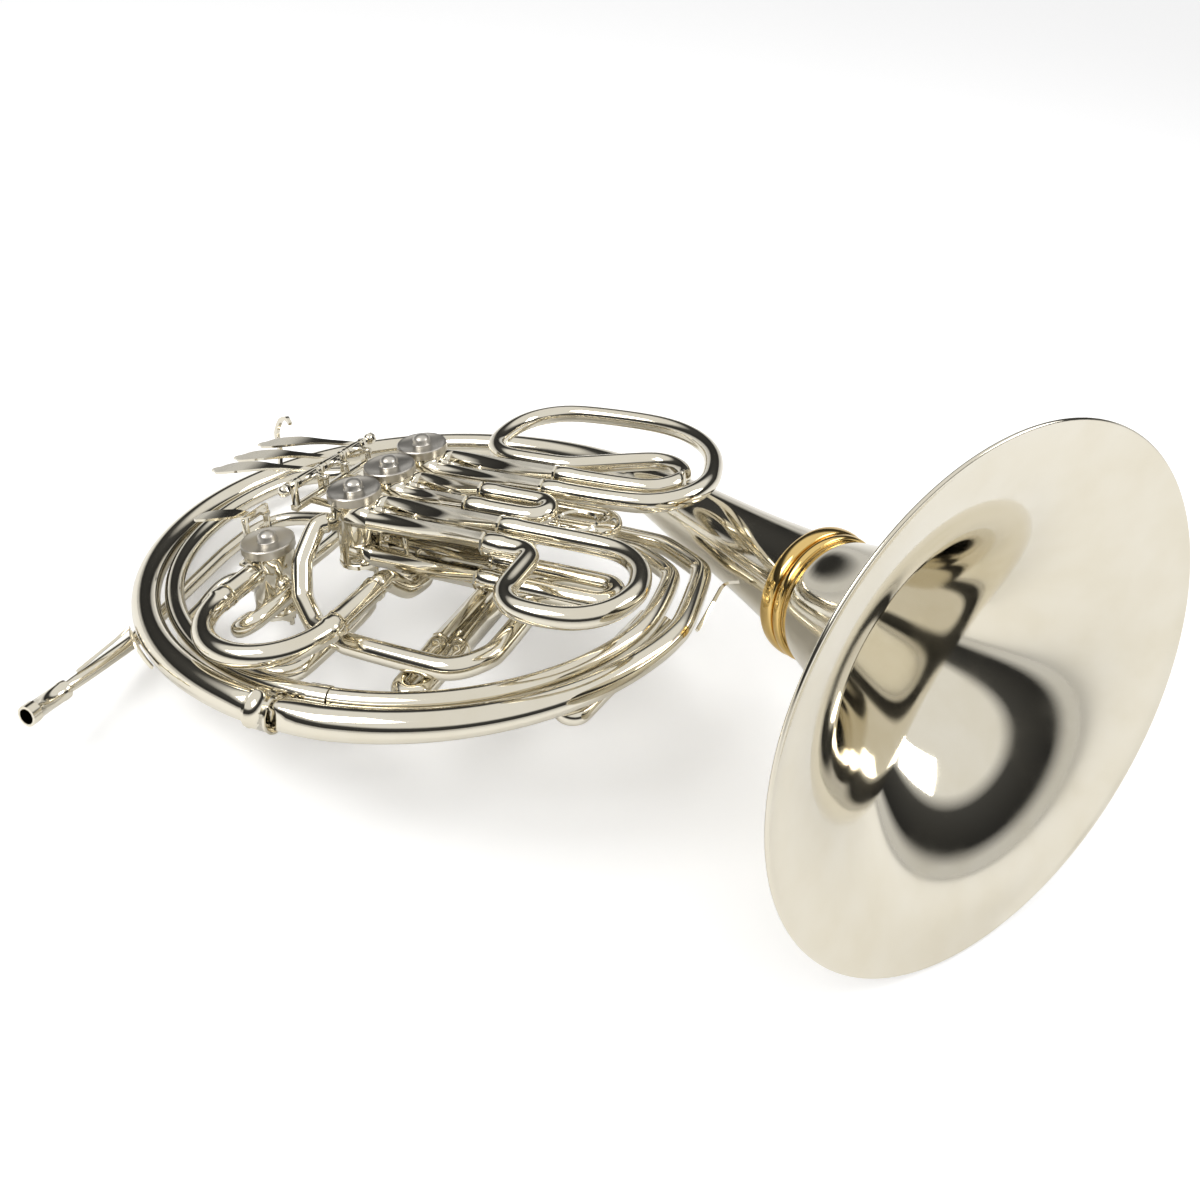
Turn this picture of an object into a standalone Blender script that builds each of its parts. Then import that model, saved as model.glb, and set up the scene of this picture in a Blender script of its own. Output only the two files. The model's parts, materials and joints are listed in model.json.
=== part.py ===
"""Double french horn, lying on the floor on its bell rim and its outer ring.

Lengths in the tables are millimetres in the horn's own frame: X runs along the
valve slides, Y away from the front of the ring, Z up out of the ring's plane.
The origin is the first valve's axis in the plane of the ring's centre line.
"""
import math

import bmesh
import bpy
import numpy as np
from mathutils import Matrix, Vector

MM = 0.001
GAP = 0.3

# how the horn lies: turns about X and Y, in degrees
REST_ROLL = -5.154
REST_PITCH = -14.001

# bell
BELL_R = 155.0
BELL_CENTRE = Vector((388.0, 4.4, 1.0))
BELL_TURN = -34.4
FLARE_OFFSET = 22.7
FLARE_POWER = 0.75
BELL_WALL = 1.0
RIM_BEAD = 1.9
THROAT_L = 123.0
TAIL_END_L = 300.0
THROAT_BORE_DEPTH = 70.0

# ring
RING_CENTRE = Vector((24.0, 35.0, 0.0))
RING_A = 195.0
RING_B = 175.0
RING_R = 9.6
RING_END_R = 6.8
RING_JOIN_T = 52.0
FERRULE_T = 272.0
INNER_R = 6.3
INNER_STEP = 18.4

# valves
VALVES = (Vector((0.0, 0.0, 0.0)), Vector((3.0, 37.7, 0.0)), Vector((6.0, 75.4, 0.0)))
CHANGE = Vector((-49.0, -35.0, -29.0))
CAP_TOP = 63.0
CAP_R = 18.0
CAP_H = 6.0
NUB_R = 6.3
NUB_H = 6.5
BAND_R = 16.6
BAND_H = 10.0
CASING_R = 14.5
CASING_BOTTOM = 10.0
CASING_BORE = 12.6
CASING_FLOOR = 3.0
ROTOR_R = 12.3
SPINDLE_R = 3.0
SPINDLE_BORE = 3.3
ROTOR_TURN_ARM = 11.0

# slides
TUBE_R = 6.5
SLEEVE_R = 6.9
SLEEVE_BORE = 6.05
LEG_R = 5.5
FERRULE_R = 7.2
LEG_STEP = 10.5
UPPER_Z = 48.0
LOWER_Z = 22.0
PORT_X = 19.0
SLEEVE_END = {"f1": 104.0, "f2": 70.0, "f3": 107.0, "b1": 97.0, "b2": 66.0, "b3": 95.0}
FERRULE_LEN = {"f1": 12.0, "f2": 11.0, "f3": 12.0, "b1": 10.0, "b2": 10.0, "b3": 12.0}
LEG_IN = 62.0

# main slide
MAIN_Z = 17.5
MAIN_X = (-49.0, 36.5)
MAIN_R = 7.2
MAIN_SLEEVE_R = 7.7
MAIN_BORE = 6.75
MAIN_LEG_R = 6.2
MAIN_BOW_Y = -84.0
MAIN_SLEEVE_END = -78.0

# levers
ROD_START = Vector((-43.0, -13.0, 62.0))
ROD_LEN = 80.0
ROD_R = 2.0
HINGE_R = 3.7
HINGE_BORE = 2.3
POSTS = (4.0, 30.0, 54.0, 76.0)
POST_T = 2.6
LEVER_AT = (24.0, 45.0, 69.0)
LEVER_REACH = 66.0
LEVER_SLANT = 24.0
PADDLE_W = 17.0
STEM_W = 5.0
PADDLE_T = 1.7

SIDES = 8


def clear_scene():
    """Remove every object, mesh and curve of the start-up scene."""
    for ob in list(bpy.data.objects):
        bpy.data.objects.remove(ob, do_unlink=True)
    for block in list(bpy.data.meshes):
        bpy.data.meshes.remove(block)


clear_scene()
HORN = bpy.data.collections.new("double_horn")
bpy.context.scene.collection.children.link(HORN)


def material(name, colour, rough, metallic=1.0):
    """A Principled material with one colour."""
    mat = bpy.data.materials.new(name)
    mat.use_nodes = True
    node = mat.node_tree.nodes["Principled BSDF"]
    node.inputs["Base Color"].default_value = (*colour, 1.0)
    node.inputs["Metallic"].default_value = metallic
    node.inputs["Roughness"].default_value = rough
    mat.diffuse_color = (*colour, 1.0)
    return mat


SILVER = (0.78, 0.73, 0.60)
BRIGHT = (0.82, 0.80, 0.74)
GOLD = (0.83, 0.62, 0.22)
PLATE = (0.66, 0.63, 0.58)


def new_object(name, mesh, colour, rough=0.15):
    """Link a mesh into the horn's collection with its own material."""
    mesh.name = name
    ob = bpy.data.objects.new(name, mesh)
    HORN.objects.link(ob)
    mesh.materials.clear()
    mesh.materials.append(material(name, colour, rough))
    return ob


def baked(ob):
    """The object's evaluated mesh in the horn's frame, welded; the object goes."""
    bpy.context.view_layer.update()
    graph = bpy.context.evaluated_depsgraph_get()
    mesh = bpy.data.meshes.new_from_object(ob.evaluated_get(graph))
    mesh.transform(ob.matrix_world)
    data = ob.data
    bpy.data.objects.remove(ob, do_unlink=True)
    if isinstance(data, bpy.types.Curve):
        bpy.data.curves.remove(data)
    bm = bmesh.new()
    bm.from_mesh(mesh)
    bmesh.ops.remove_doubles(bm, verts=bm.verts, dist=0.00001)
    bmesh.ops.recalc_face_normals(bm, faces=bm.faces)
    bm.to_mesh(mesh)
    bm.free()
    return mesh


def shape(mesh):
    """A loose object for use in a Boolean."""
    ob = bpy.data.objects.new("shape", mesh)
    HORN.objects.link(ob)
    return ob


def combine(base, others, operation="UNION"):
    """Boolean of one mesh with several others in turn, as one mesh."""
    for other in others:
        ob, tool = shape(base), shape(other)
        mod = ob.modifiers.new("bool", "BOOLEAN")
        mod.operation = operation
        mod.solver = "EXACT"
        mod.object = tool
        base = baked(ob)
        bpy.data.objects.remove(tool, do_unlink=True)
    return base


def along(direction):
    """Rotation that takes +Z to a direction."""
    return Vector(direction).normalized().to_track_quat("Z", "Y").to_matrix().to_4x4()


def turned(profile, origin, axis, steps=16):
    """Mesh turned about an axis from (radius, height) points, top to bottom outside."""
    mesh = bpy.data.meshes.new("turned")
    pts = [(r * MM, 0.0, h * MM) for r, h in profile]
    closed = profile[0][0] > 0.001
    edges = [(i, i + 1) for i in range(len(pts) - 1)]
    if closed:
        edges.append((len(pts) - 1, 0))
    mesh.from_pydata(pts, edges, [])
    ob = bpy.data.objects.new("turned", mesh)
    HORN.objects.link(ob)
    mod = ob.modifiers.new("turn", "SCREW")
    mod.axis = "Z"
    mod.steps = steps
    mod.render_steps = steps
    mod.use_merge_vertices = True
    mod.merge_threshold = 0.00005
    mod.use_normal_calculate = True
    ob.matrix_world = Matrix.Translation(Vector(origin) * MM) @ along(axis)
    return baked(ob)


def rod(start, end, radius, steps=SIDES):
    """Solid cylinder between two points."""
    start, end = Vector(start), Vector(end)
    length = (end - start).length
    return turned([(0, length), (radius, length), (radius, 0), (0, 0)], start, end - start, steps)


def pipe(start, end, outer, bore, steps=SIDES):
    """Hollow cylinder between two points."""
    start, end = Vector(start), Vector(end)
    length = (end - start).length
    profile = [(outer, length), (outer, 0), (bore, 0), (bore, length)]
    return turned(profile, start, end - start, steps)


def box(low, high):
    """Axis-aligned block."""
    mesh = bpy.data.meshes.new("box")
    bm = bmesh.new()
    bmesh.ops.create_cube(bm, size=1.0)
    low, high = Vector(low) * MM, Vector(high) * MM
    for v in bm.verts:
        v.co = Vector([low[i] + (v.co[i] + 0.5) * (high[i] - low[i]) for i in range(3)])
    bm.to_mesh(mesh)
    bm.free()
    return mesh


def fillet(corners, step=29.0):
    """Points of a route through corners (x, y, z, bend radius), bends as arcs."""
    pts = [Vector(corners[0][:3])]
    for i in range(1, len(corners) - 1):
        here = Vector(corners[i][:3])
        r = corners[i][3] if len(corners[i]) > 3 else 0.0
        a = (Vector(corners[i - 1][:3]) - here).normalized()
        b = (Vector(corners[i + 1][:3]) - here).normalized()
        inside = a.angle(b)
        bend = math.pi - inside
        if r <= 0.0 or bend < 0.02:
            pts.append(here)
            continue
        back = r / math.tan(inside / 2)
        centre = here + (a + b).normalized() * (r / math.sin(inside / 2))
        u = (here + a * back - centre).normalized()
        axis = u.cross((here + b * back - centre)).normalized()
        v = axis.cross(u)
        count = max(2, math.ceil(math.degrees(bend) / step))
        for k in range(count + 1):
            t = bend * k / count
            pts.append(centre + (u * math.cos(t) + v * math.sin(t)) * r)
    pts.append(Vector(corners[-1][:3]))
    clean = [pts[0]]
    for p in pts[1:]:
        if (p - clean[-1]).length > 0.05:
            clean.append(p)
    return clean


def sweep(points, radii, resolution=2):
    """Tube along points; radii is one value or a list of (distance, radius)."""
    pts = [Vector(p) for p in points]
    dist = [0.0]
    for p, q in zip(pts, pts[1:]):
        dist.append(dist[-1] + (q - p).length)
    if not isinstance(radii, (list, tuple)):
        radii = [(0.0, radii), (dist[-1], radii)]
    marks = [(s if s >= 0 else dist[-1] + s, r) for s, r in radii]
    marks.sort(key=lambda m: m[0])
    stops = sorted(set([round(s, 4) for s in dist] + [round(s, 4) for s, _ in marks if 0 < s < dist[-1]]))
    stops = [s for i, s in enumerate(stops) if i == 0 or s - stops[i - 1] > 0.02]
    curve = bpy.data.curves.new("sweep", "CURVE")
    curve.dimensions = "3D"
    curve.bevel_depth = MM
    curve.bevel_resolution = resolution
    curve.use_fill_caps = True
    spline = curve.splines.new("POLY")
    spline.points.add(len(stops) - 1)
    for i, s in enumerate(stops):
        p = at_length(pts, dist, s) * MM
        spline.points[i].co = (*p, 1.0)
        spline.points[i].radius = float(np.interp(s, [m[0] for m in marks], [m[1] for m in marks]))
    ob = bpy.data.objects.new("sweep", curve)
    HORN.objects.link(ob)
    return baked(ob)


def at_length(pts, dist, s):
    """Point at a distance along a route."""
    for i in range(len(dist) - 1):
        if s <= dist[i + 1] + 1e-6:
            k = (s - dist[i]) / max(dist[i + 1] - dist[i], 1e-9)
            return pts[i].lerp(pts[i + 1], min(max(k, 0.0), 1.0))
    return pts[-1].copy()


def length_of(pts):
    """Length of a route."""
    return sum((q - p).length for p, q in zip(pts, pts[1:]))


# bell
BELL_N = Vector((math.cos(math.radians(BELL_TURN)), math.sin(math.radians(BELL_TURN)), 0.0))


def flare_r(back):
    """Bell outer radius at a distance back from the rim."""
    return BELL_R * (FLARE_OFFSET / (FLARE_OFFSET + back)) ** FLARE_POWER


def on_bell(back):
    """Point of the bell's axis at a distance back from the rim."""
    return BELL_CENTRE - BELL_N * back


def build_bell():
    """Flare, its ring, the throat ring and the first stretch of the tail."""
    backs = [0.0, 1.2, 3.0, 6.0, 11.0, 18.0, 27.0, 39.0, 54.0, 72.0, 95.0, THROAT_L - 6.5]
    outer = [(flare_r(b), -b) for b in backs]
    inner = [(flare_r(b) - BELL_WALL, -b) for b in backs]
    rim = [(BELL_R - 0.2, 0.9), (BELL_R + 0.0, 0.2)]
    profile = [(BELL_R - 1.8, 0.6), (BELL_R - 0.9, 1.0)] + rim[1:]
    profile += [(BELL_R - 0.1, -1.6), (flare_r(1.2) + 1.5, -2.4)] + outer[3:]
    profile += [(outer[-1][0] - 2.6, -THROAT_L + 6.5), (inner[-1][0] - 1.6, inner[-2][1] - 16.0)]
    profile += inner[1:-1][::-1]
    new_object("bell_flare", turned(profile, BELL_CENTRE, BELL_N, 40), SILVER, 0.12)
    neck = flare_r(THROAT_L - 6)
    r = neck + 0.3
    wide = []
    for k in range(9):
        t = math.pi * k / 8
        wide.append((r + 0.4 + 2.4 * math.sin(t) ** 0.7, -THROAT_L - 4.9 + 4.9 * math.cos(t)))
    wide += [(flare_r(THROAT_L + 9.8) + GAP, -THROAT_L - 9.8), (flare_r(THROAT_L) + GAP, -THROAT_L)]
    narrow = [(r + 0.4, -THROAT_L + 6.2), (r + 1.5, -THROAT_L + 5.4), (r + 2.0, -THROAT_L + 3.3)]
    narrow += [(r + 1.5, -THROAT_L + 1.2), (r + 0.4, -THROAT_L + 0.3), (neck - 3.4, -THROAT_L + 0.3)]
    narrow += [(neck - 3.4, -THROAT_L + 6.2)]
    new_object("flare_ring", turned(narrow, BELL_CENTRE, BELL_N, 28), GOLD, 0.12)
    new_object("throat_ring", turned(wide, BELL_CENTRE, BELL_N, 28), GOLD, 0.12)


def ring_point(t, step=0.0, z=0.0):
    """Point of the ring's ellipse, or of one that lies a step inside it."""
    a = math.radians(t)
    x = RING_CENTRE.x + (RING_A - step) * math.cos(a)
    y = RING_CENTRE.y + (RING_B - step) * math.sin(a)
    return Vector((x, y, z))


def build_ring():
    """Tail and outer ring in two tapered lengths, the inner ring tube and ferrules."""
    straight = [on_bell(THROAT_L + s) for s in (0.2, 12, 26, 42, 60, 80, 105, 130, 155)]
    ring = [ring_point(t) for t in np.arange(RING_JOIN_T + 6, FERRULE_T - 4.0, 9.0)]
    tail = straight + ring + [ring_point(FERRULE_T - 1.0)]
    radii = [(s, flare_r(THROAT_L + s)) for s in (0, 12, 26, 42, 60, 80, 105, 130)]
    radii += [(160, 20.5), (190, 17.5), (240, 13.5), (300, 10.8), (360, RING_R), (5000, RING_R)]
    body = sweep(tail, radii, 4)
    bore = [(0, 5.0), (flare_r(THROAT_L) - BELL_WALL - 1.2, 5.0), (flare_r(THROAT_L) - BELL_WALL - 1.2, 0)]
    bore += [(flare_r(THROAT_L + 40) - 2.4, -40.0), (flare_r(THROAT_L + THROAT_BORE_DEPTH) - 3.5, -THROAT_BORE_DEPTH)]
    bore += [(0, -THROAT_BORE_DEPTH)]
    cut = turned(bore, on_bell(THROAT_L), BELL_N, 16)
    new_object("bell_tail", combine(body, [cut], "DIFFERENCE"), SILVER, 0.12)

    front = [ring_point(t) for t in np.arange(FERRULE_T + 1.0, 362.0, 9.0)]
    front += fillet([front[-1], (211, 78, 0, 16), (177, 101, 0, 30), (44, 109, 0)])[1:]
    total = length_of(front)
    radii = [(0, RING_R), (40, RING_R), (250, RING_END_R), (total, RING_END_R - 0.5)]
    new_object("ring_front_tube", sweep(front, radii, 3), SILVER, 0.12)

    a = ring_point(FERRULE_T - 2.4)
    b = ring_point(FERRULE_T + 2.4)
    r = RING_R + 1.2
    ln = (b - a).length
    prof = [(RING_R + 2 * GAP, ln), (r + 0.5, ln), (r + 0.5, ln - 1.6), (r, ln - 1.8), (r, 1.8), (r + 0.5, 1.6)]
    prof += [(r + 0.5, 0), (RING_R + 2 * GAP, 0)]
    new_object("ring_ferrule", turned(prof, a, b - a, 16), BRIGHT)

    start = [(-11.5, 77.9, LOWER_Z), (-34, 77.9, LOWER_Z, 14), (-92, 120, 2, 26)]
    mid = [ring_point(t, INNER_STEP) for t in np.arange(154.0, 358.0, 9.0)]
    head = fillet(start + [tuple(mid[0])])
    end = fillet([mid[-1], (195, 66, 0, 16), (165, 86, 0, 30), (70, 92, 0)])
    new_object("inner_ring_tube", sweep(head[:-1] + mid + end[1:], INNER_R), SILVER, 0.12)
    a = ring_point(FERRULE_T + 5.5, INNER_STEP)
    b = ring_point(FERRULE_T + 9.5, INNER_STEP)
    ln = (b - a).length
    prof = [(INNER_R + 0.5, ln), (INNER_R + 1.1, ln), (INNER_R + 1.1, 0), (INNER_R + 0.5, 0)]
    new_object("inner_ring_ferrule", turned(prof, a, b - a, 16), BRIGHT)


def build_leadpipe():
    """Mouthpipe with its receiver, and the wire that ties it to the ring."""
    mouth = Vector((-105.0, -190.0, -8.0))
    bend = Vector((-112.0, -105.0, -15.4))
    way = (bend - mouth).normalized()
    start = mouth + way * 24.0
    corners = [tuple(start), (*bend, 60.0), (-131.0, 0.0, -15.0, 60.0), (-133.0, 58.0, -13.0, 30.0)]
    corners += [(-49.0, 62.0, -3.0, 26.0), (-49.0, -19.0, -3.0)]
    pts = fillet(corners)
    new_object("leadpipe", sweep(pts, [(0, 4.3), (120, 5.0), (300, 5.6), (5000, 5.8)]), SILVER, 0.12)
    prof = [(4.6, 29.0), (6.2, 29.0), (6.2, 25.6), (5.9, 25.2), (5.9, 6.5), (6.7, 6.0), (6.7, 0.0)]
    prof += [(5.0, 0.0), (4.6, 23.5)]
    new_object("mouthpipe_receiver", turned(prof, mouth, way, 12), BRIGHT)
    wire = [(-109.0, -150.0, -6.1), (-108.5, -131.0, -4.4, 8), (-105.0, -121.5, -1.0, 6)]
    arc = [ring_point(t, -RING_R - 1.7) for t in (231, 234, 237, 240, 243, 246)]
    pts = fillet(wire + [tuple(arc[0])])[:-1] + arc
    new_object("leadpipe_brace", sweep(pts, 1.3, 0), BRIGHT)


def port(base, angle, z, radius, reach, start=10.0):
    """Short solid tube stub that leaves a casing sideways."""
    a = math.radians(angle)
    d = Vector((math.cos(a), math.sin(a), 0.0))
    c = Vector((base.x, base.y, z))
    return rod(c + d * start, c + d * reach, radius)


def build_valve(name, base, ports):
    """Casing, cap and rotor of one rotary valve."""
    top = base.z + CAP_TOP
    floor = base.z + CASING_BOTTOM
    c = Vector((base.x, base.y, 0.0))
    t = top - CAP_H - GAP
    prof = [(0, t), (BAND_R, t), (BAND_R, t - BAND_H), (CASING_R, t - BAND_H - 1.0), (CASING_R, floor + 3.0)]
    prof += [(CASING_R + 1.2, floor + 2.6), (CASING_R + 1.2, floor), (0, floor)]
    body = turned(prof, c, (0, 0, 1), 16)
    body = combine(body, ports)
    bore = [(0, t + 2), (CASING_BORE, t + 2), (CASING_BORE, floor + CASING_FLOOR)]
    bore += [(SPINDLE_BORE, floor + CASING_FLOOR), (SPINDLE_BORE, floor - 2), (0, floor - 2)]
    cut = turned(bore, c, (0, 0, 1), 16)
    new_object("casing_" + name, combine(body, [cut], "DIFFERENCE"), SILVER, 0.14)
    prof = [(0, top + NUB_H), (NUB_R * 0.45, top + NUB_H - 0.4), (NUB_R * 0.8, top + NUB_H - 1.6)]
    prof += [(NUB_R, top + NUB_H - 3.4), (NUB_R, top + 0.3), (NUB_R + 0.6, top - 0.3), (CAP_R - 2.4, top - 0.3)]
    prof += [(CAP_R - 2.0, top), (CAP_R - 0.6, top), (CAP_R, top - 0.6), (CAP_R, top - CAP_H), (0, top - CAP_H)]
    new_object("cap_" + name, turned(prof, c, (0, 0, 1), 20), PLATE, 0.3)
    low = floor + CASING_FLOOR + 0.3
    prof = [(0, t - 0.6), (ROTOR_R, t - 0.6), (ROTOR_R, low), (SPINDLE_R, low), (SPINDLE_R, floor - 7.0)]
    prof += [(0, floor - 7.0)]
    shaft = turned(prof, c, (0, 0, 1), 16)
    z0 = floor - 6.4
    arm = box((base.x - 2.2, base.y - 3.2, z0), (base.x + ROTOR_TURN_ARM, base.y + 3.2, z0 + 3.4))
    knob = rod((base.x + ROTOR_TURN_ARM - 1.5, base.y, z0 - 3.4), (base.x + ROTOR_TURN_ARM - 1.5, base.y, z0 + 2), 1.8, 8)
    new_object("rotor_" + name, combine(shaft, [arm, knob]), BRIGHT, 0.25)


def cone_tip(base):
    """Small stop stud with a pointed end, between the two upper legs."""
    c = Vector((base.x + 12.0, base.y, UPPER_Z + 1.0))
    prof = [(0, 20.0), (0.6, 19.6), (2.4, 13.5), (2.4, 12.6), (3.1, 12.4), (3.1, 10.6), (2.4, 10.4)]
    prof += [(2.4, 9.4), (3.1, 9.2), (3.1, 0), (0, 0)]
    return turned(prof, c, (1, 0, 0), 10)


def slide_ports(base):
    """Four stubs to the slides of one valve, towards +X."""
    out = []
    for z in (UPPER_Z, LOWER_Z):
        for side in (1, -1):
            y = base.y + side * LEG_STEP
            out.append(rod((base.x + 2.0, y, z), (base.x + PORT_X, y, z), TUBE_R))
    out.append(cone_tip(base))
    return out


def build_valves():
    """Three finger valves with knuckles between them, and the change valve."""
    for i, base in enumerate(VALVES):
        ports = slide_ports(base)
        line = (VALVES[1] - VALVES[0]).normalized()
        half = (VALVES[1] - VALVES[0]).length / 2
        turn = math.degrees(math.atan2(line.y, line.x))
        if i > 0:
            ports += [port(base, turn + 180, z, 5.4, half - GAP / 2) for z in (37.0, 22.0)]
        if i < 2:
            ports += [port(base, turn, z, 5.4, half - GAP / 2) for z in (37.0, 22.0)]
        if i == 0:
            ports.append(port(base, 215.0, 40.0, 6.6, 17.5))
        if i == 2:
            ports.append(rod((base.x - 4, base.y + 2.2, LOWER_Z), (-11.1, 77.9, LOWER_Z), INNER_R))
        build_valve(str(i + 1), base, ports)
    c = CHANGE
    ports = [rod((c.x, c.y - 8, MAIN_Z), (c.x, c.y - 16.5, MAIN_Z), MAIN_SLEEVE_R)]
    ports.append(rod((c.x, c.y + 8, -3.0), (c.x, c.y + 15.6, -3.0), 6.0))
    ports.append(port(c, 180.0, -3.0, 6.2, 18.0))
    ports.append(port(c, -22.0, 4.0, 6.0, 17.5))
    build_valve("change", c, ports)


def build_sleeves():
    """Outer legs of the six valve slides, brazed together per valve."""
    for i, base in enumerate(VALVES):
        k = str(i + 1)
        tubes = []
        for z, tag in ((UPPER_Z, "f" + k), (LOWER_Z, "b" + k)):
            for side in (1, -1):
                y = base.y + side * LEG_STEP
                x0 = base.x + PORT_X + GAP
                x1 = SLEEVE_END[tag]
                prof = [(SLEEVE_BORE, x1 - x0), (SLEEVE_R + 0.5, x1 - x0), (SLEEVE_R + 0.5, x1 - x0 - 1.6)]
                prof += [(SLEEVE_R, x1 - x0 - 1.8), (SLEEVE_R, 0), (SLEEVE_BORE, 0)]
                tubes.append(turned(prof, (x0, y, z), (1, 0, 0), SIDES))
        x = base.x + 44.0
        edge = LEG_STEP - SLEEVE_R + 0.45
        bars = [rod((x, base.y - edge, z), (x, base.y + edge, z), 1.8, 8) for z in (UPPER_Z, LOWER_Z)]
        y = base.y - LEG_STEP
        bars.append(rod((x, y, LOWER_Z + SLEEVE_R - 0.45), (x, y, UPPER_Z - SLEEVE_R + 0.45), 1.6, 8))
        new_object("sleeves_" + k, combine(tubes[0], tubes[1:] + bars), SILVER, 0.14)


def slide_mesh(corners, sleeve_end, ferrule, leg_in=LEG_IN, tube=TUBE_R, leg=LEG_R, band=FERRULE_R):
    """Slide: thin legs that run in the sleeves, ferrules, then the bow."""
    pts = fillet(corners)
    total = length_of(pts)
    s0 = leg_in + GAP
    radii = [(0, leg), (s0, leg), (s0 + 0.15, band), (s0 + ferrule, band), (s0 + ferrule + 0.15, tube)]
    radii += [(total - s0 - ferrule - 0.15, tube), (total - s0 - ferrule, band), (total - s0 - 0.15, band)]
    radii += [(total - s0, leg), (total, leg)]
    return sweep(pts, radii)


def leg_start(tag, depth):
    """X where a slide's leg begins inside its sleeve."""
    return SLEEVE_END[tag] - depth


def build_slides():
    """The six valve slides."""
    v1, v2, v3 = VALVES
    z = UPPER_Z
    e, f = v1.y + LEG_STEP, v1.y - LEG_STEP
    x0 = leg_start("f1", LEG_IN)
    way = [(x0, e, z), (207, e, z, 36), (207, -67, z, 36), (137, -67, z, 20), (137, f, z, 11), (x0, f, z)]
    new_object("slide_f1", slide_mesh(way, 0, FERRULE_LEN["f1"]), SILVER, 0.1)

    a, b = v2.y + LEG_STEP, v2.y - LEG_STEP
    depth = 36.0
    x0 = leg_start("f2", depth)
    way = [(x0, a, z), (122.5, a, z, LEG_STEP - 0.01), (122.5, b, z, LEG_STEP - 0.01), (x0, b, z)]
    new_object("slide_f2", slide_mesh(way, 0, FERRULE_LEN["f2"], depth), SILVER, 0.1)

    a, b = v3.y + LEG_STEP, v3.y - LEG_STEP
    x0 = leg_start("f3", LEG_IN)
    way = [(x0, a, z), (189, a, z, 25), (189, 142, z, 23), (108, 101.5, z, 30), (40, 101.5, z, 28)]
    way += [(40, 190, z, 46), (205.5, 190, z, 74), (205.5, b, z, 42), (x0, b, z)]
    new_object("slide_f3", slide_mesh(way, 0, FERRULE_LEN["f3"]), SILVER, 0.1)

    z = LOWER_Z
    a, b = v1.y + LEG_STEP, v1.y - LEG_STEP
    x0 = leg_start("b1", LEG_IN - 6)
    way = [(x0, a, z), (182, a, z, LEG_STEP - 0.01), (182, b, z, LEG_STEP - 0.01), (x0, b, z)]
    new_object("slide_b1", slide_mesh(way, 0, FERRULE_LEN["b1"], LEG_IN - 6), SILVER, 0.1)

    a, b = v2.y + LEG_STEP, v2.y - LEG_STEP
    depth = 32.0
    x0 = leg_start("b2", depth)
    way = [(x0, a, z), (106, a, z, LEG_STEP - 0.01), (106, b, z, LEG_STEP - 0.01), (x0, b, z)]
    new_object("slide_b2", slide_mesh(way, 0, FERRULE_LEN["b2"], depth), SILVER, 0.1)

    a, b = v3.y + LEG_STEP, v3.y - LEG_STEP
    x0 = leg_start("b3", LEG_IN - 6)
    way = [(x0, b, z), (150, b, z, LEG_STEP - 0.01), (150, a, z, LEG_STEP - 0.01), (x0, a, z)]
    new_object("slide_b3", slide_mesh(way, 0, FERRULE_LEN["b3"], LEG_IN - 6), SILVER, 0.1)

    tip = 122.5 + TUBE_R
    c = Vector((tip + 13.4, v2.y, UPPER_Z - 3.0))
    ring = [c + Vector((13.0 * math.cos(t), 12.0 * math.sin(t), 0)) for t in np.linspace(0, 2 * math.pi, 17)[:-1]]
    new_object("pull_ring", closed_wire(ring, 1.2), BRIGHT)


def closed_wire(points, radius):
    """Closed wire loop."""
    curve = bpy.data.curves.new("wire", "CURVE")
    curve.dimensions = "3D"
    curve.bevel_depth = radius * MM
    curve.bevel_resolution = 0
    spline = curve.splines.new("POLY")
    spline.points.add(len(points) - 1)
    for i, p in enumerate(points):
        spline.points[i].co = (*(Vector(p) * MM), 1.0)
    spline.use_cyclic_u = True
    ob = bpy.data.objects.new("wire", curve)
    HORN.objects.link(ob)
    return baked(ob)


def build_main_slide():
    """Main tuning slide with its two sleeves, towards the front."""
    z = MAIN_Z
    xl, xr = MAIN_X
    for tag, x, y0 in (("left", xl, CHANGE.y - 16.8), ("right", xr, -38.0)):
        ln = y0 - MAIN_SLEEVE_END
        prof = [(MAIN_BORE, ln), (MAIN_SLEEVE_R + 0.6, ln), (MAIN_SLEEVE_R + 0.6, ln - 1.8)]
        prof += [(MAIN_SLEEVE_R, ln - 2.0), (MAIN_SLEEVE_R, 2.0), (MAIN_SLEEVE_R + 0.6, 1.8)]
        prof += [(MAIN_SLEEVE_R + 0.6, 0), (MAIN_BORE, 0)]
        new_object("main_sleeve_" + tag, turned(prof, (x, y0, z), (0, -1, 0), 12), SILVER, 0.14)
    depth = 24.0
    y = MAIN_SLEEVE_END + depth
    half = (xr - xl) / 2
    way = [(xl, y, z), (xl, MAIN_BOW_Y - half, z, half - 0.02), (xr, MAIN_BOW_Y - half, z, half - 0.02), (xr, y, z)]
    mesh = slide_mesh(way, 0, 8.0, depth, MAIN_R, MAIN_LEG_R, MAIN_SLEEVE_R + 0.5)
    new_object("main_slide", mesh, SILVER, 0.1)


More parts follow.
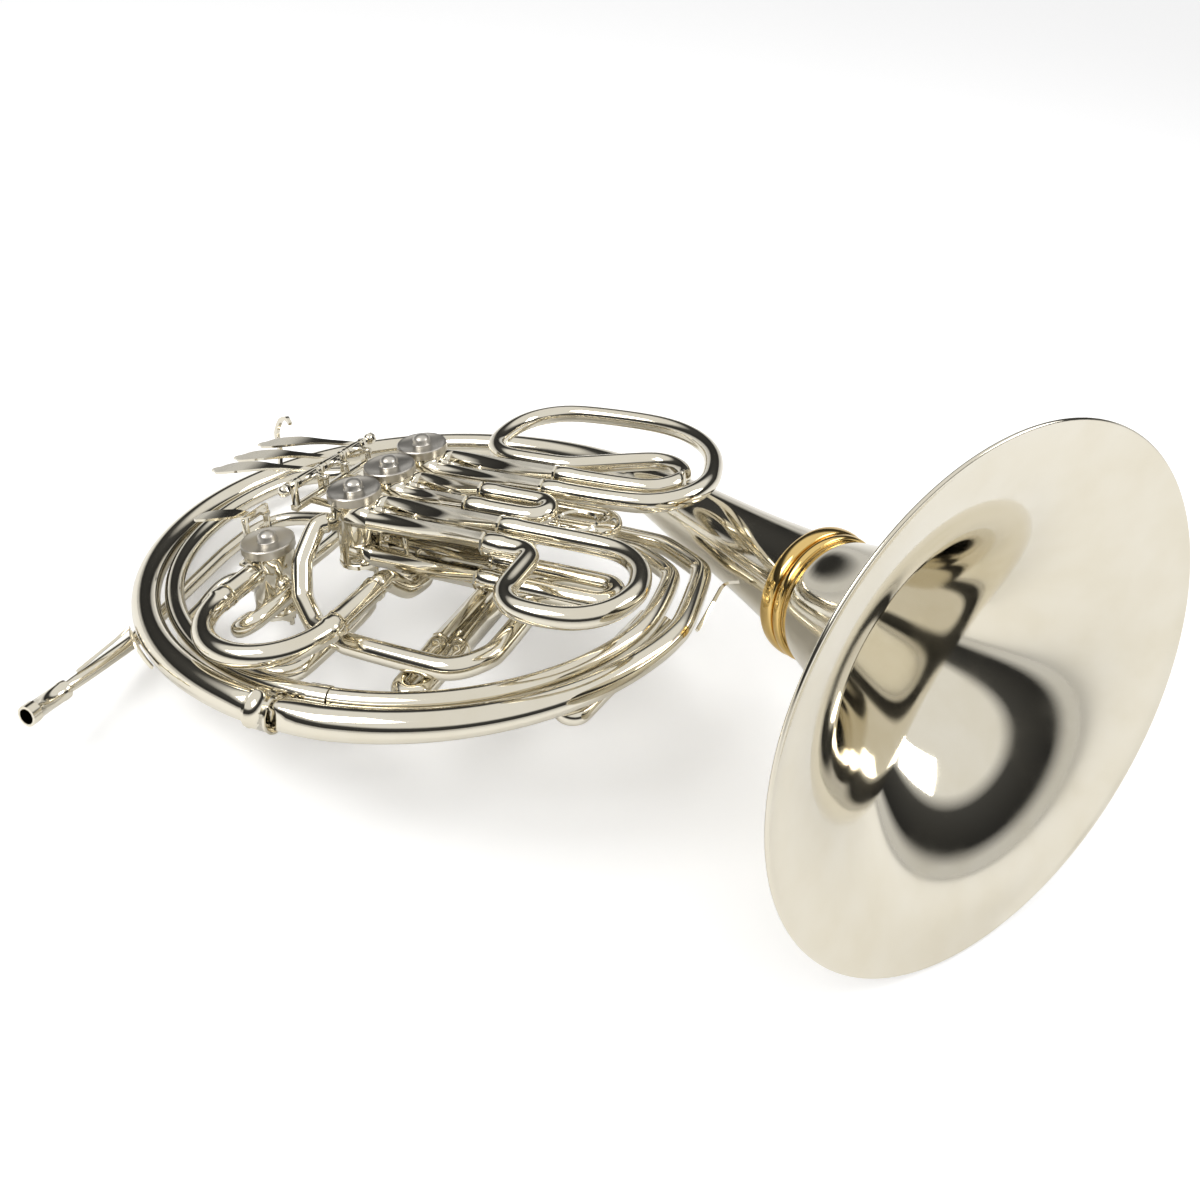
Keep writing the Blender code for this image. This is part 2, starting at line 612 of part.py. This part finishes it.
def build_lower_tubes():
    """Fixed tubes under the slides."""
    way = [(-14.6, -10.2, 40), (-22, -15.5, 40, 8), (-20.5, -37, 24, 14), (-13, -50, 6, 12), (8, -65, 0.5, 14)]
    way += [(38, -73, 0.5, 30), (112, -73, 0.5, 24), (126, -50, 0.5, 20), (126, 28, 0.5, 22), (26, 28, 0.5)]
    new_object("first_valve_tube", sweep(fillet(way), 6.9), SILVER, 0.1)
    y0 = -38.0 + GAP
    way = [(36.5, y0, MAIN_Z), (36.5, -26, MAIN_Z, 7), (44, -14, 4, 9), (44, 11, 0, 9), (14, 11, 0)]
    new_object("main_slide_crook", sweep(fillet(way), [(0, 7.2), (20, 6.8), (500, 6.4)]), SILVER, 0.12)
    c = CHANGE
    way = [(c.x - 18.3, c.y, -3), (-90, c.y, -3, 15), (-92, -60, -13.5, 12), (-88, -86, -13.5, 18)]
    way += [(-54, -99, -13.5, 24), (14, -99, -13.5, 15), (14, -8, -13.5)]
    new_object("change_valve_crook", sweep(fillet(way), 6.0), SILVER, 0.12)
    a = math.radians(-22.0)
    p = Vector((c.x + 17.8 * math.cos(a), c.y + 17.8 * math.sin(a), 4.0))
    way = [tuple(p), (-27.5, -44, 4, 6), (-27.5, -82, 4, 8), (-43, -82, -5, 7), (-43, -64, -6)]
    new_object("short_crook", sweep(fillet(way), 5.8), SILVER, 0.12)


def pair_slide(name, start, way, length, step, lift, r, sleeve_len, ends):
    """Straight U slide: two sleeves with a bar, and the U that runs in them."""
    start, way = Vector(start), Vector(way).normalized()
    side = Vector((step.x, step.y, step.z))
    outer, bore, leg = r + 0.4, r - 0.45, r - 1.0
    tubes = []
    for k in (0, 1):
        p = start + side * k
        prof = [(bore, sleeve_len), (outer + 0.5, sleeve_len), (outer + 0.5, sleeve_len - 1.6)]
        prof += [(outer, sleeve_len - 1.8), (outer, 0), (bore, 0)]
        tubes.append(turned(prof, p, way, SIDES))
    d = side.normalized()
    for s in (12.0, sleeve_len - 14.0):
        p = start + way * s
        tubes.append(rod(p + d * (outer - 0.4), p + side - d * (outer - 0.4), 1.7, 8))
    new_object(name + "_sleeves", combine(tubes[0], tubes[1:]), SILVER, 0.14)
    depth = sleeve_len - 12.0
    half = side.length / 2
    a = start + way * (sleeve_len - depth)
    b = start + way * (length - half)
    corners = [tuple(a), (*(b + way * half), half - 0.02), (*(b + way * half + side), half - 0.02), tuple(a + side)]
    new_object(name + "_slide", slide_mesh(corners, 0, 8.0, depth, r, leg, outer + 0.4), SILVER, 0.12)


def build_lower_slides():
    """The two straight slides that lie under the ring's front."""
    step = Vector((14.6, 0, 0))
    pair_slide("front", (79.5, 22, -12.6), (0, -1, 0), 108.0, step, 0, 6.0, 58.0, None)
    d = Vector((-0.156, -0.988, 0))
    step = Vector((13.6, -2.1, 0))
    pair_slide("side", (187.0, 36, -14.0), d, 102.0, step, 0, 5.3, 60.0, None)


def build_braces():
    """Wire braces."""
    way = [(226.4, 15, 0), (227.4, 44, 1.5, 12), (229, 62, 5, 7), (238, 64.3, 6)]
    new_object("bell_brace", sweep(fillet(way), 1.3, 0), BRIGHT)
    way = [(190.5, -22, -7.35), (190.6, -4.0, -7.35)]
    new_object("side_slide_brace", sweep(fillet(way), 0.8, 0), BRIGHT)


def lever_frame(s):
    """Frame with Y along the hinge rod and -X towards the finger tips."""
    line = (VALVES[1] - VALVES[0]).normalized()
    x = Vector((line.y, -line.x, 0))
    m = Matrix.Identity(4)
    for i in range(3):
        m[i][0] = x[i]
        m[i][1] = line[i]
        m[i][2] = (0, 0, 1)[i]
    p = (ROD_START + line * s) * MM
    return Matrix.Translation(p) @ m


def loft(sections):
    """Closed body through four-point sections."""
    verts = [tuple(Vector(v) * MM) for sec in sections for v in sec]
    n = len(sections[0])
    faces = [tuple(range(n))[::-1]]
    for i in range(len(sections) - 1):
        for k in range(n):
            a, b = i * n + k, i * n + (k + 1) % n
            faces.append((a, b, b + n, a + n))
    last = (len(sections) - 1) * n
    faces.append(tuple(range(last, last + n)))
    mesh = bpy.data.meshes.new("loft")
    mesh.from_pydata(verts, [], faces)
    bm = bmesh.new()
    bm.from_mesh(mesh)
    bmesh.ops.recalc_face_normals(bm, faces=bm.faces)
    bm.to_mesh(mesh)
    bm.free()
    return mesh


def paddle(reach, slant, width, stem, thick, z0=1.2):
    """Flat touch piece: a stem that widens to a rounded, slightly dished paddle."""
    sections = []
    for d in (0.0, 8, 18, 28, 36, 43, 50, 56, 60.5, 63.5, 65.4, 69.0):
        d = d / 66.0
        w = stem + (width - stem) * 0.5 * (1 - math.cos(math.pi * min(1, max(0, (d - 0.25) / 0.5))))
        if d > 0.86:
            w = width * math.sqrt(max(0.03, 1 - ((d - 0.86) / 0.14) ** 2))
        x = -reach * d
        y = -slant * d
        z = z0 + 2.2 * math.sin(math.pi * d) - 1.4 * d
        half = w / 2
        sections.append([(x, y - half, z), (x, y + half, z), (x, y + half, z + thick), (x, y - half, z + thick)])
    return loft(sections)


def build_levers():
    """Hinge rod on its posts, and the three finger levers."""
    line = (VALVES[1] - VALVES[0]).normalized()
    frame = lever_frame(0)
    parts = []
    parts.append(rod((0, -2.5, 0), (0, ROD_LEN + 2.5, 0), ROD_R, SIDES))
    for y, d in ((-4.5, -1), (ROD_LEN + 4.5, 1)):
        prof = [(0, 4.6), (2.2, 4.2), (4.0, 2.6), (4.6, 0), (4.0, -2.6), (3.0, -4.0), (0, -4.0)]
        parts.append(turned(prof, (0, y, 0), (0, d, 0), 8))
    drop = 62.0 - 47.0
    for s in POSTS:
        parts.append(box((-2.4, s - POST_T / 2, -drop - 1.0), (2.4, s + POST_T / 2, 3.4)))
    parts.append(box((-3.0, POSTS[0] - POST_T, -drop - 3.0), (3.0, POSTS[-1] + POST_T, -drop + 0.6)))
    for v in VALVES[:2]:
        local = frame.inverted() @ (Vector((v.x, v.y, 0)) * MM) / MM
        parts.append(box((1.0, local.y - 2.5, -drop - 2.4), (local.x - BAND_R - 0.7, local.y + 2.5, -drop + 0.4)))
    mesh = combine(parts[0], parts[1:])
    mesh.transform(frame)
    new_object("lever_bracket", mesh, BRIGHT, 0.12)
    spans = [(POSTS[i] + POST_T / 2 + GAP, POSTS[i + 1] - POST_T / 2 - GAP) for i in range(3)]
    for i in range(3):
        a, b = spans[i]
        s = LEVER_AT[i]
        prof = [(HINGE_BORE, b - s), (HINGE_R, b - s), (HINGE_R, b - s - 2.4), (HINGE_R - 0.5, b - s - 2.6)]
        prof += [(HINGE_R - 0.5, b - s - 3.4), (HINGE_R, b - s - 3.6), (HINGE_R, a - s + 3.6)]
        prof += [(HINGE_R - 0.5, a - s + 3.4), (HINGE_R - 0.5, a - s + 2.6), (HINGE_R, a - s + 2.4)]
        prof += [(HINGE_R, a - s), (HINGE_BORE, a - s)]
        tube = turned(prof, (0, 0, 0), (0, 1, 0), 10)
        blade = paddle(LEVER_REACH, LEVER_SLANT, PADDLE_W, STEM_W, PADDLE_T, 1.0)
        blade.transform(Matrix.Translation(Vector((-2.7, 0, 0)) * MM))
        back = box((2.7, -2.0, -2.6), (12.5, 2.0, 0.4))
        knob = rod((11.0, 0, -6.5), (11.0, 0, 0.8), 1.8, 8)
        back = combine(back, [knob])
        mesh = combine(tube, [blade, back])
        ob = new_object("lever_" + str(i + 1), mesh, BRIGHT, 0.12)
        ob.matrix_world = lever_frame(s)


THUMB_AT = Vector((-77.0, -14.0, 37.0))
THUMB_LEN = 18.0


def build_thumb():
    """Thumb lever on its own post, beside the change valve."""
    at = THUMB_AT
    h = THUMB_LEN / 2
    prof = [(1.8, h), (3.0, h), (3.0, -h), (1.8, -h)]
    tube = turned(prof, (0, 0, 0), (0, 1, 0), 12)
    secs = []
    for x, w, z in ((-2.2, 6, 0.4), (-8, 9, 0.9), (-14, 13, 1.0), (-26, 14, 0.6), (-32, 12, 0.0), (-35, 7, -0.5)):
        y = -4.0 + x * 0.42
        secs.append([(x, y - w / 2, z), (x, y + w / 2, z), (x, y + w / 2, z + 1.8), (x, y - w / 2, z + 1.8)])
    blade = loft(secs)
    back = box((2.2, 2.0, -1.6), (8.5, 6.0, 1.0))
    ob = new_object("thumb_lever", combine(tube, [blade, back]), BRIGHT, 0.1)
    ob.location = at * MM
    parts = [rod(at + Vector((0, -h - 3.2, 0)), at + Vector((0, h + 3.2, 0)), 1.5, 10)]
    for s in (-1, 1):
        y = at.y + s * (h + GAP + 1.2)
        parts.append(box((at.x - 2.2, y - 1.2, 8.0), (at.x + 2.2, y + 1.2, at.z + 2.6)))
    parts.append(box((at.x - 3.0, at.y - h - 4.0, 6.5), (at.x + 3.0, at.y + h + 4.0, 9.6)))
    x1 = CHANGE.x - math.sqrt(CASING_R ** 2 - 9) - 0.5
    parts.append(box((at.x, CHANGE.y + 3.0, 6.8), (x1, CHANGE.y + 9.0, 9.2)))
    parts.append(box((at.x - 2.6, CHANGE.y + 1.0, 6.7), (at.x + 2.6, at.y, 9.3)))
    new_object("thumb_bracket", combine(parts[0], parts[1:]), BRIGHT, 0.12)


def build_hook():
    """Little-finger hook on the outer ring."""
    base = ring_point(157.0, 0.0, RING_R + 1.9)
    way = [base + Vector((6, -8, -1.2)), base + Vector((0, 0, 0.2)), base + Vector((-2, 4, 6)), base + Vector((-5, 6, 22))]
    way += [base + Vector((0, 8, 34)), base + Vector((9, 6, 37)), base + Vector((15, 2, 34))]
    corners = [tuple(way[0])] + [(*p, r) for p, r in zip(way[1:-1], (3, 4, 12, 9, 6))] + [tuple(way[-1])]
    new_object("finger_hook", sweep(fillet(corners), [(0, 1.9), (30, 2.3), (55, 2.3), (70, 1.6)], 0), BRIGHT)


def settle():
    """Tilt the horn onto its resting points and stand it on the floor, centred."""
    tilt = Matrix.Rotation(math.radians(REST_ROLL), 4, "X") @ Matrix.Rotation(math.radians(REST_PITCH), 4, "Y")
    bpy.context.view_layer.update()
    pts = [tilt @ ob.matrix_world @ v.co for ob in HORN.objects for v in ob.data.vertices]
    low = Vector([min(p[i] for p in pts) for i in range(3)])
    high = Vector([max(p[i] for p in pts) for i in range(3)])
    middle = (low + high) / 2
    rest = bpy.data.objects.new("horn_rest", None)
    HORN.objects.link(rest)
    rest.matrix_world = Matrix.Translation((-middle.x, -middle.y, -low.z)) @ tilt
    for ob in list(HORN.objects):
        if ob is not rest:
            ob.parent = rest
    print("rest matrix", [round(v, 6) for row in rest.matrix_world for v in row])


build_bell()
build_ring()
build_leadpipe()
build_valves()
build_sleeves()
build_slides()
build_main_slide()
build_lower_tubes()
build_lower_slides()
build_braces()
build_levers()
build_thumb()
build_hook()
settle()
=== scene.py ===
"""Double french horn on a pale floor: finishes, light and camera round the CAD frame."""
import json
import logging
from dataclasses import dataclass, field
from enum import Enum

import bmesh
import bpy
from mathutils import Matrix, Vector


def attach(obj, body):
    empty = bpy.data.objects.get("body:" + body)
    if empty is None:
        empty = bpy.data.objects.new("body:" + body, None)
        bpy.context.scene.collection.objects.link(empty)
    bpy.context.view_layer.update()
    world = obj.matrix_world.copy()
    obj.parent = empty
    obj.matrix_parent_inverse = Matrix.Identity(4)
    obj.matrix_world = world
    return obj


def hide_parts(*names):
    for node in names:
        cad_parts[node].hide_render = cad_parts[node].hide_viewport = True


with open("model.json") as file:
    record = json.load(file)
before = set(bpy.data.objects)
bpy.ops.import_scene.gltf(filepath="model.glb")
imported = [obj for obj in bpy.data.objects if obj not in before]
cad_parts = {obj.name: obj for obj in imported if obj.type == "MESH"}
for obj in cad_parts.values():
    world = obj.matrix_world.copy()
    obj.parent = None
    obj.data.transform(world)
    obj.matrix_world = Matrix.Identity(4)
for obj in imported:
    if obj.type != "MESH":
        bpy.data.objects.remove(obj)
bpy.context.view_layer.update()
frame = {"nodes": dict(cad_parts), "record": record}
LOG = logging.getLogger("horn")

SMEAR_SCALE, SMEAR_DETAIL = 38.0, 6.0
SMEAR_SPAN = (0.42, 0.75)
GRAIN_SCALE, GRAIN_DETAIL = 900.0, 3.0
GRAIN_DEPTH = 0.0003
POLISH_BUMP = 0.02
WELD = 0.00001
WIDEST_CORNER = 3.1
SUBDIVISIONS = 2
FLOOR_Z = -0.0006
ROOM_GREYS = ((0.0, 1.0), (0.20, 1.0), (0.27, 0.07), (0.42, 0.03), (0.47, 0.75), (1.0, 0.9))
ROOM_LIGHT = 0.9
SOFT_BOXES = (("key", (-0.9, -0.8, 1.5), 0.9, 16.0), ("fill", (1.2, 0.6, 1.3), 0.7, 9.0))


class Slot(Enum):
    """Material slots of the record."""

    SILVER = "nickel_silver"
    GOLD = "gold_brass"
    PLATE = "cap_plate"


def link_noise(group: bpy.types.NodeTree, scale: float, detail: float) -> bpy.types.Node:
    """Add a noise on Object coordinates to a node group.

    Args:
        group: the node group.
        scale: the noise's scale, per metre.
        detail: its number of octaves.

    Returns:
        The noise node.
    """
    place = group.nodes.new("ShaderNodeTexCoord")
    noise = group.nodes.new("ShaderNodeTexNoise")
    noise.inputs["Scale"].default_value = scale
    noise.inputs["Detail"].default_value = detail
    group.links.new(place.outputs["Object"], noise.inputs["Vector"])
    return noise


def handled_metal() -> bpy.types.NodeTree:
    """Make the shared wear of polished metal as one node group.

    Returns:
        A group whose cloudy noise mixes two tints and two roughness values, and whose
        fine noise makes a slight bump.
    """
    group = bpy.data.node_groups.new("handled_metal", "ShaderNodeTree")
    face = group.interface
    for name, kind in (("Colour", "NodeSocketColor"), ("Worn", "NodeSocketColor"),
                       ("Rough", "NodeSocketFloat"), ("Rough Worn", "NodeSocketFloat"),
                       ("Bump", "NodeSocketFloat")):
        face.new_socket(name=name, in_out="INPUT", socket_type=kind)
    for name, kind in (("Colour", "NodeSocketColor"), ("Roughness", "NodeSocketFloat"),
                       ("Normal", "NodeSocketVector")):
        face.new_socket(name=name, in_out="OUTPUT", socket_type=kind)
    nodes, links = group.nodes, group.links
    given = nodes.new("NodeGroupInput")
    out = nodes.new("NodeGroupOutput")
    cloud = link_noise(group, SMEAR_SCALE, SMEAR_DETAIL)
    fine = link_noise(group, GRAIN_SCALE, GRAIN_DETAIL)
    rough = nodes.new("ShaderNodeMapRange")
    rough.inputs["From Min"].default_value, rough.inputs["From Max"].default_value = SMEAR_SPAN
    links.new(given.outputs["Rough"], rough.inputs["To Min"])
    links.new(given.outputs["Rough Worn"], rough.inputs["To Max"])
    links.new(cloud.outputs["Fac"], rough.inputs["Value"])
    tint = nodes.new("ShaderNodeMix")
    tint.data_type = "RGBA"
    links.new(cloud.outputs["Fac"], tint.inputs[0])
    links.new(given.outputs["Colour"], tint.inputs[6])
    links.new(given.outputs["Worn"], tint.inputs[7])
    bump = nodes.new("ShaderNodeBump")
    bump.inputs["Distance"].default_value = GRAIN_DEPTH
    links.new(given.outputs["Bump"], bump.inputs["Strength"])
    links.new(fine.outputs["Fac"], bump.inputs["Height"])
    links.new(tint.outputs[2], out.inputs["Colour"])
    links.new(rough.outputs["Result"], out.inputs["Roughness"])
    links.new(bump.outputs["Normal"], out.inputs["Normal"])
    return group


@dataclass(frozen=True)
class Finish:
    """A polished metal.

    Attributes:
        slot: the record's material slot that it dresses.
        colour: its clean tint.
        worn: its tint where it is handled.
        rough: its clean roughness.
        smear: how much rougher its smears are.
        brush: bump strength beyond a polished surface's.
    """

    slot: Slot
    colour: tuple
    worn: tuple
    rough: float
    smear: float
    brush: float = 0.0

    def material(self, wear: bpy.types.NodeTree) -> bpy.types.Material:
        """Build the node material.

        Args:
            wear: the shared wear group.

        Returns:
            A metal whose roughness, tint and fine bump vary over the piece.
        """
        mat = bpy.data.materials.new(self.slot.value)
        mat.use_nodes = True
        nodes, links = mat.node_tree.nodes, mat.node_tree.links
        bsdf = nodes["Principled BSDF"]
        bsdf.inputs["Metallic"].default_value = 1.0
        use = nodes.new("ShaderNodeGroup")
        use.node_tree = wear
        use.inputs["Colour"].default_value = (*self.colour, 1.0)
        use.inputs["Worn"].default_value = (*self.worn, 1.0)
        use.inputs["Rough"].default_value = self.rough
        use.inputs["Rough Worn"].default_value = self.rough + self.smear
        use.inputs["Bump"].default_value = POLISH_BUMP + self.brush
        links.new(use.outputs["Colour"], bsdf.inputs["Base Color"])
        links.new(use.outputs["Roughness"], bsdf.inputs["Roughness"])
        links.new(use.outputs["Normal"], bsdf.inputs["Normal"])
        return mat


FINISHES = (
    Finish(Slot.SILVER, (0.80, 0.76, 0.66), (0.72, 0.66, 0.52), 0.05, 0.10),
    Finish(Slot.GOLD, (0.86, 0.62, 0.24), (0.74, 0.50, 0.18), 0.08, 0.12),
    Finish(Slot.PLATE, (0.62, 0.59, 0.53), (0.50, 0.47, 0.42), 0.30, 0.14, 0.06),
)


@dataclass
class Horn:
    """Every rigid piece of the horn, shown from its CAD solid with its edges rounded.

    Attributes:
        smooth_angle: edges flatter than this, in radians, are shaded smooth.
        tubes: CAD nodes that are bent round tubes, with the growth in metres that
            gives back the width that rounding takes from their sides.
        turned: CAD nodes turned on a lathe, rounded without growth.
        flat_angle: two triangles flatter than this, in radians, are one face.
    """

    smooth_angle: float = 0.62
    tubes: dict = field(default_factory=lambda: {
        "bell_tail": 0.0001, "ring_front_tube": 0.0005, "inner_ring_tube": 0.0006,
        "leadpipe": 0.0005, "first_valve_tube": 0.00065, "main_slide_crook": 0.00065,
        "change_valve_crook": 0.00055, "short_crook": 0.00055, "slide_f1": 0.0006,
        "slide_f2": 0.0006, "slide_f3": 0.0006, "slide_b1": 0.0006, "slide_b2": 0.0006,
        "slide_b3": 0.0006, "main_slide": 0.0007, "front_slide": 0.00055, "side_slide": 0.0005})
    turned: tuple = ("bell_flare", "throat_ring", "flare_ring")
    flat_angle: float = 0.4

    def piece(self, name: str, node: bpy.types.Object, mats: dict) -> bpy.types.Object:
        """Make the visible piece of one CAD node.

        Args:
            name: the node's name.
            node: the frame's object.
            mats: material for each slot name.

        Returns:
            The new object, riding on the node's body.
        """
        slots = {s["node"]: s["material_slot"] for s in frame["record"]["subparts"]}
        body = next(b for b, ns in frame["record"]["behaviour"]["bodies"].items() if name in ns)
        mesh = node.data.copy()
        mesh.materials.clear()
        mesh.materials.append(mats[slots[name]])
        ob = bpy.data.objects.new("horn_" + name, mesh)
        bpy.context.scene.collection.objects.link(ob)
        curved = name in self.tubes or name in self.turned
        self.join_faces(mesh)
        if curved:
            round_off = ob.modifiers.new("round", "SUBSURF")
            round_off.levels = round_off.render_levels = SUBDIVISIONS
        if name in self.tubes:
            grow = ob.modifiers.new("grow", "DISPLACE")
            grow.mid_level = 0.0
            grow.strength = self.tubes[name]
        mesh.shade_smooth()
        if not curved:
            mesh.set_sharp_from_angle(angle=self.smooth_angle)
        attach(ob, body)
        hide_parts(name)
        return ob

    def join_faces(self, mesh: bpy.types.Mesh) -> None:
        """Weld a mesh and join its nearly flat pairs of triangles into four-sided faces.

        Args:
            mesh: the mesh, which is changed in place.
        """
        bm = bmesh.new()
        bm.from_mesh(mesh)
        bmesh.ops.remove_doubles(bm, verts=bm.verts, dist=WELD)
        bmesh.ops.join_triangles(bm, faces=bm.faces, angle_face_threshold=self.flat_angle,
                                 angle_shape_threshold=WIDEST_CORNER)
        bm.to_mesh(mesh)
        bm.free()

    def build(self, mats: dict) -> None:
        """Make every visible piece.

        Args:
            mats: material for each slot name.
        """
        for name, node in sorted(frame["nodes"].items()):
            self.piece(name, node, mats)
            LOG.info("made %s", name)


@dataclass
class Studio:
    """Floor, light and camera. Directions are in the horn's own frame, lengths in metres."""

    eye: Vector = Vector((0.3885, -0.4795, 0.3619))
    right: Vector = Vector((0.8828, 0.4630, -0.0794))
    down: Vector = Vector((0.0851, -0.3239, -0.9423))
    lens: float = 30.75
    shift: tuple = (0.0821, -0.2122)
    floor_size: float = 12.0
    floor_lift: float = 0.28
    roll: float = -0.089955
    pitch: float = -0.244363
    foot: Vector = Vector((-0.147243, -0.013642, 0.056027))

    def rest(self) -> Matrix:
        """Matrix that takes the horn's own frame to the floor."""
        turn = Matrix.Rotation(self.roll, 4, "X") @ Matrix.Rotation(self.pitch, 4, "Y")
        return Matrix.Translation(self.foot) @ turn

    def camera(self) -> None:
        """Camera at the photograph's viewpoint."""
        data = bpy.data.cameras.new("view")
        data.lens, data.sensor_width = self.lens, 36.0
        data.shift_x, data.shift_y = self.shift
        data.clip_start = 0.01
        cam = bpy.data.objects.new("view", data)
        up, back = -self.down.normalized(), self.right.cross(-self.down).normalized()
        local = Matrix.Identity(4)
        for i in range(3):
            local[i][0], local[i][1], local[i][2] = self.right[i], up[i], back[i]
            local[i][3] = self.eye[i]
        cam.matrix_world = self.rest() @ local
        bpy.context.scene.collection.objects.link(cam)
        bpy.context.scene.camera = cam

    def floor(self) -> None:
        """Pale plain floor under the horn."""
        mesh = bpy.data.meshes.new("floor")
        s = self.floor_size
        corners = [(x, y, FLOOR_Z) for x, y in ((-s, -s), (s, -s), (s, s), (-s, s))]
        mesh.from_pydata(corners, [], [(0, 1, 2, 3)])
        mat = bpy.data.materials.new("floor")
        mat.use_nodes = True
        bsdf = mat.node_tree.nodes["Principled BSDF"]
        bsdf.inputs["Base Color"].default_value = (0.93, 0.93, 0.93, 1.0)
        bsdf.inputs["Roughness"].default_value = 0.8
        nodes, links = mat.node_tree.nodes, mat.node_tree.links
        path = nodes.new("ShaderNodeLightPath")
        lift = nodes.new("ShaderNodeMath")
        lift.operation = "MULTIPLY"
        lift.inputs[1].default_value = self.floor_lift
        links.new(path.outputs["Is Camera Ray"], lift.inputs[0])
        bsdf.inputs["Emission Color"].default_value = (1.0, 1.0, 1.0, 1.0)
        links.new(lift.outputs["Value"], bsdf.inputs["Emission Strength"])
        mesh.materials.append(mat)
        ob = bpy.data.objects.new("floor", mesh)
        bpy.context.scene.collection.objects.link(ob)

    def world(self) -> None:
        """White surroundings with a dark band that the metal mirrors."""
        world = bpy.data.worlds.new("studio")
        bpy.context.scene.world = world
        world.use_nodes = True
        nodes, links = world.node_tree.nodes, world.node_tree.links
        way = nodes.new("ShaderNodeNewGeometry")
        split = nodes.new("ShaderNodeSeparateXYZ")
        links.new(way.outputs["Incoming"], split.inputs["Vector"])
        ramp = nodes.new("ShaderNodeValToRGB")
        level = nodes.new("ShaderNodeMapRange")
        level.inputs["From Min"].default_value = -1.0
        level.inputs["From Max"].default_value = 1.0
        links.new(split.outputs["Z"], level.inputs["Value"])
        links.new(level.outputs["Result"], ramp.inputs["Fac"])
        ramp.color_ramp.elements[0].position, ramp.color_ramp.elements[1].position = 0.0, 1.0
        for at, _ in ROOM_GREYS[1:-1]:
            ramp.color_ramp.elements.new(at)
        for item, (_, grey) in zip(ramp.color_ramp.elements, ROOM_GREYS):
            item.color = (grey, grey, grey, 1.0)
        path = nodes.new("ShaderNodeLightPath")
        mix = nodes.new("ShaderNodeMix")
        mix.data_type = "RGBA"
        links.new(path.outputs["Is Camera Ray"], mix.inputs[0])
        links.new(ramp.outputs["Color"], mix.inputs[6])
        mix.inputs[7].default_value = (1.0, 1.0, 1.0, 1.0)
        links.new(mix.outputs[2], nodes["Background"].inputs["Color"])
        nodes["Background"].inputs["Strength"].default_value = ROOM_LIGHT

    def lamps(self) -> None:
        """Soft boxes over the horn."""
        for name, at, size, power in SOFT_BOXES:
            data = bpy.data.lights.new(name, "AREA")
            data.size, data.energy = size, power
            ob = bpy.data.objects.new(name, data)
            aim = Vector(at).to_track_quat("Z", "Y").to_matrix().to_4x4()
            ob.matrix_world = Matrix.Translation(at) @ aim
            bpy.context.scene.collection.objects.link(ob)

    def build(self) -> None:
        """Set the whole stage."""
        self.camera()
        self.floor()
        self.world()
        self.lamps()
        bpy.context.scene.view_settings.view_transform = "Standard"


def main() -> None:
    """Build the horn and its stage."""
    logging.basicConfig(level=logging.INFO)
    wear = handled_metal()
    mats = {f.slot.value: f.material(wear) for f in FINISHES}
    Horn().build(mats)
    Studio().build()


if __name__ == "__main__":
    main()
